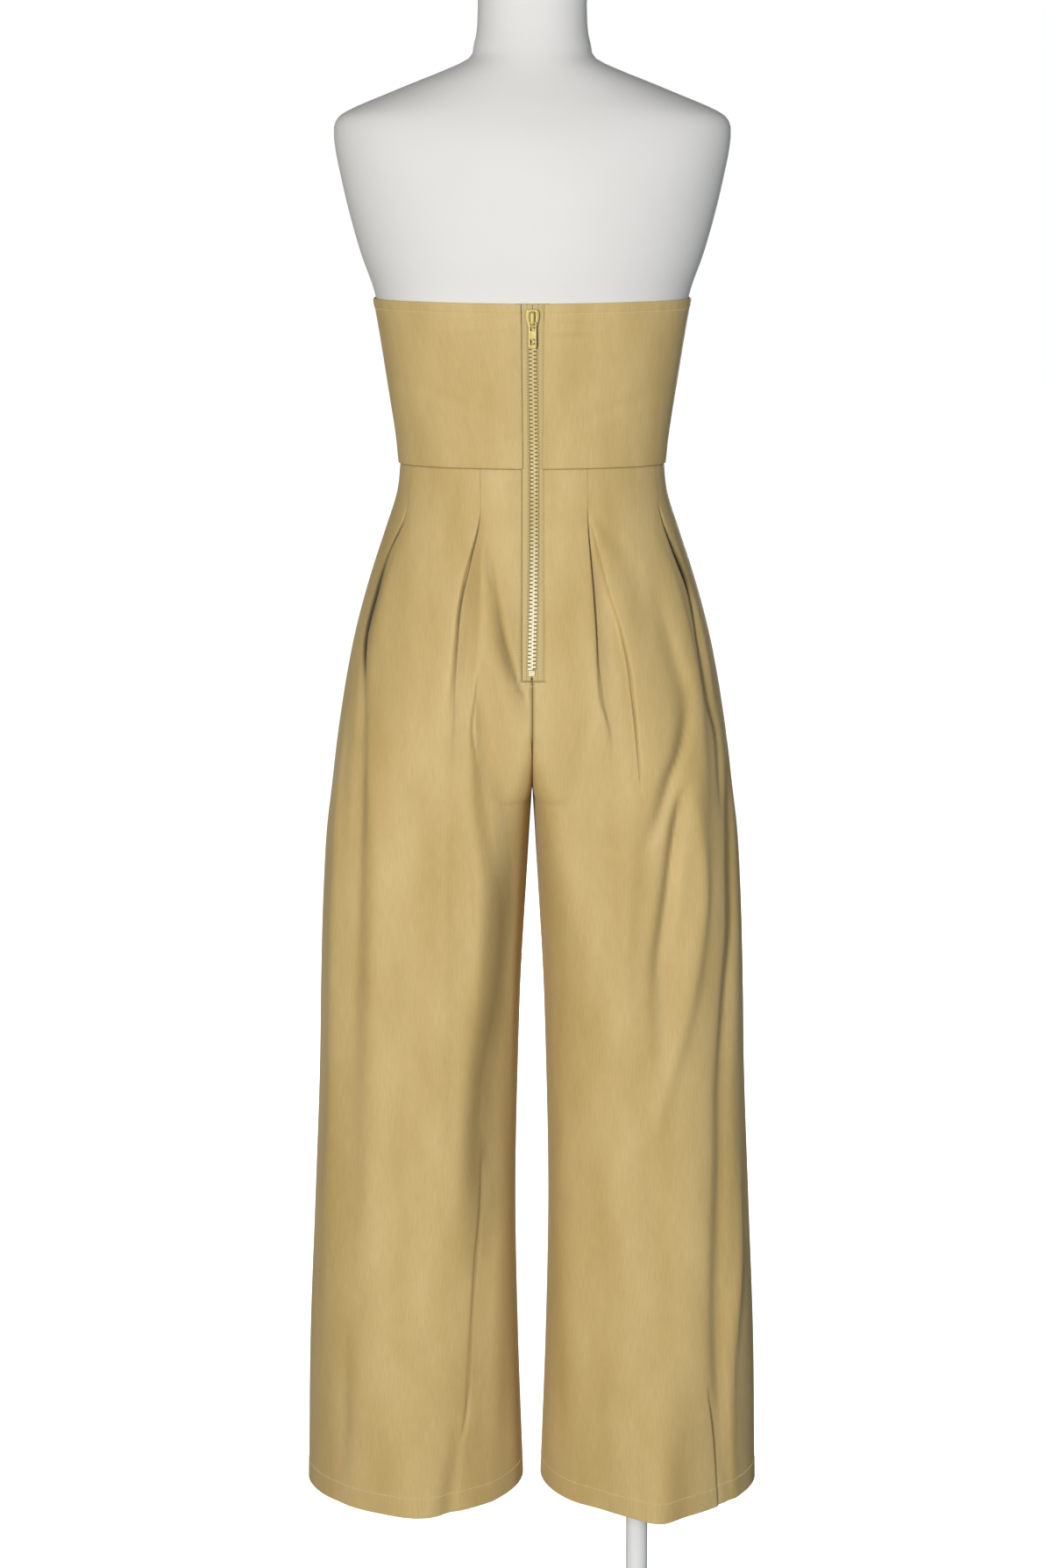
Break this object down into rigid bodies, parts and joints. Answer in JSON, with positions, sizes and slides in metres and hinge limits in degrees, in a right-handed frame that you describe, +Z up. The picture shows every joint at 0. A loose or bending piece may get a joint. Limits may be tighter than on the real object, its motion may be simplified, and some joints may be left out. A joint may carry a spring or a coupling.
{
  "type": "strapless jumpsuit on a limbless dress form",
  "caption": "Strapless wide-leg jumpsuit with an exposed back zip and pleated trousers, on a limbless dress form with a pole and a round base.",
  "frame": {"origin": "middle of the base's underside, on the floor", "axes": "+Z up, -Y out of the centre back where the zip is, +X to the wearer's right"},
  "size_m": [0.457, 0.37, 1.7],
  "materials": {
    "cotton_twill": "soft cotton twill with a slight sheen, khaki mustard",
    "zip_tape": "woven polyester tape",
    "zip_teeth": "moulded teeth, satin",
    "zip_metal": "pale brass-coloured lacquer",
    "form_cover": "off-white stretched jersey",
    "form_board": "smooth pale board",
    "stand_paint": "white powder-coated steel"
  },
  "bodies": {
    "root": {"bodice_back_left": "cotton_twill", "bodice_back_right": "cotton_twill", "bodice_front": "cotton_twill", "trouser_back_left": "cotton_twill", "trouser_back_right": "cotton_twill", "trouser_front_left": "cotton_twill", "trouser_front_right": "cotton_twill", "zip_tape_left": "zip_tape", "zip_tape_right": "zip_tape", "zip_chain": "zip_teeth", "zip_stop": "zip_metal", "zip_slider": "zip_metal", "form_torso": "form_cover", "form_bottom_plate": "form_board", "stand_top_collar": "stand_paint", "stand_pole": "stand_paint", "stand_foot_collar": "stand_paint", "stand_base": "stand_paint"},
    "pull_tab": {"zip_pull": "zip_metal"}
  },
  "joints": [
    {"name": "pull_tab_swing", "type": "hinge", "parent": "root", "child": "pull_tab", "pos_m": [0, -0.1072, 1.37643], "axis": [-1, 0, 0], "range_deg": [0, 150]}
  ]
}
